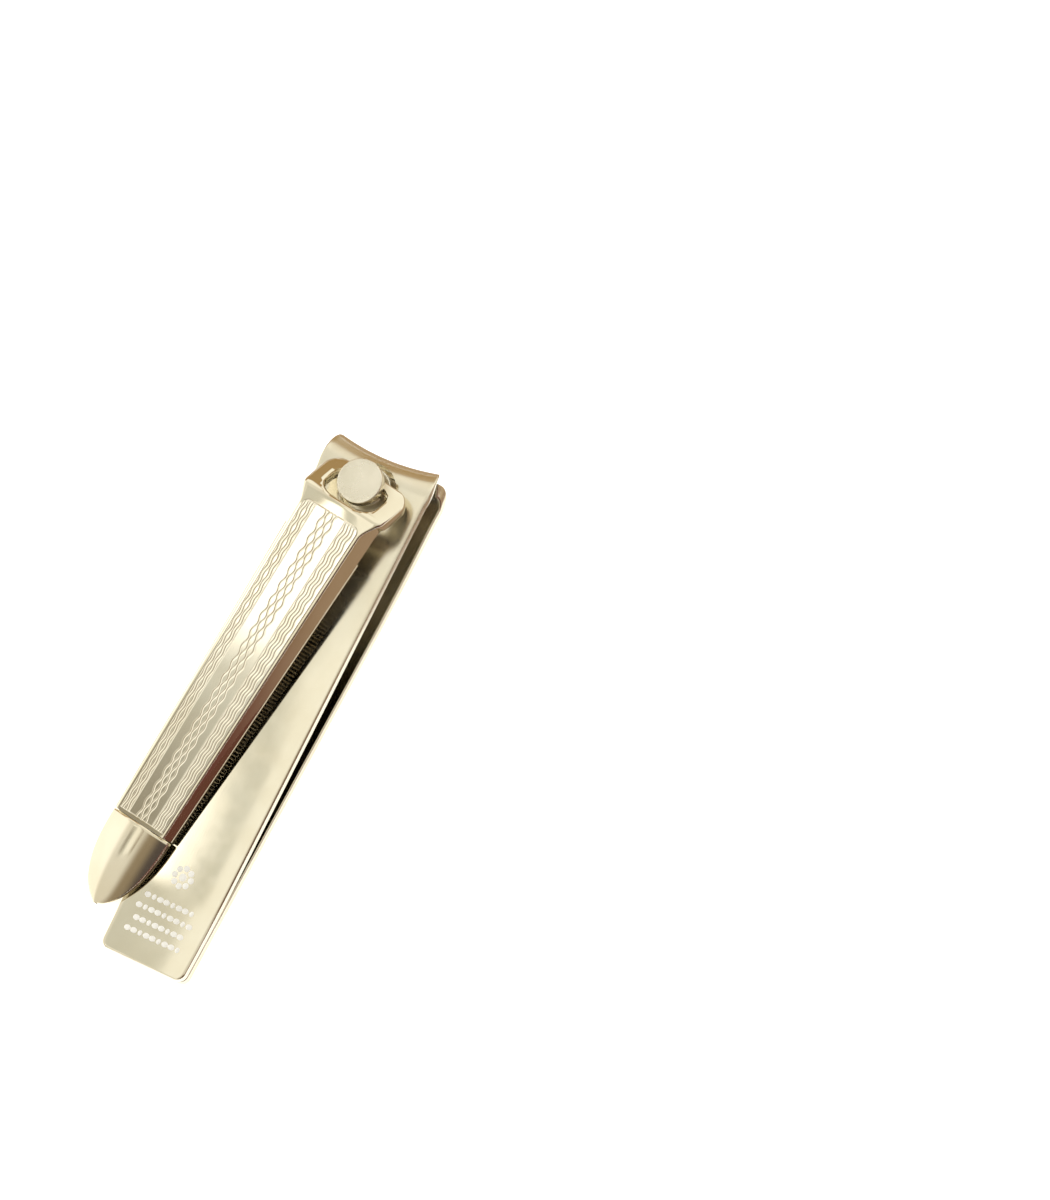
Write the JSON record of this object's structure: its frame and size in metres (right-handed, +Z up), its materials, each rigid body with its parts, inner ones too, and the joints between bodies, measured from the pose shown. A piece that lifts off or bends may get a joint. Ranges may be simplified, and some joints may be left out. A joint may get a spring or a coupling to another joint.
{
  "type": "nail clipper",
  "caption": "Small folding fingernail clipper with sprung tapered jaws, a button-headed pin and a swivelling engine-turned lever that carries a file and a pointed cleaner.",
  "frame": {"origin": "middle of the lower jaw's flat underside, on which the closed clipper lies", "axes": "+X towards the jaws, +Y to the clipper's left, +Z up"},
  "size_m": [0.0583, 0.0163, 0.0112],
  "materials": {
    "plated_steel": "polished warm nickel plate with fine handling scratches",
    "plated_lever": "polished warm nickel plate",
    "engine_turned": "bright engine-turned wavy bands between satin strips",
    "satin_pin": "satin nickel",
    "rivet_steel": "flush ground steel",
    "file_steel": "cross-cut file teeth in bright steel"
  },
  "bodies": {
    "lower": {"lower_jaw": "plated_steel", "tail_rivet": "rivet_steel"},
    "upper": {"upper_jaw": "plated_steel"},
    "pin": {"pivot_pin": "satin_pin"},
    "lever": {"lever_body": "plated_lever", "lever_panel": "engine_turned", "nail_file": "file_steel", "lever_tip": "plated_lever"}
  },
  "joints": [
    {"name": "jaw_flex", "type": "hinge", "parent": "lower", "child": "upper", "pos_m": [-0.0132, 0, 0.00118], "axis": [0, 1, 0], "range_deg": [0, 1.1], "stiffness_Nm_per_rad": 12, "springref_deg": -0.57},
    {"name": "pin_swivel", "type": "hinge", "parent": "lower", "child": "pin", "pos_m": [0.0336, 0, 0.00692], "axis": [-0.0972, 0, 0.9953], "continuous": true},
    {"name": "lever_flip", "type": "hinge", "parent": "pin", "child": "lever", "pos_m": [0.03423, -0.00011, 0.00814], "axis": [0.1437, 0.9895, 0.014], "range_deg": [0, 140]}
  ]
}
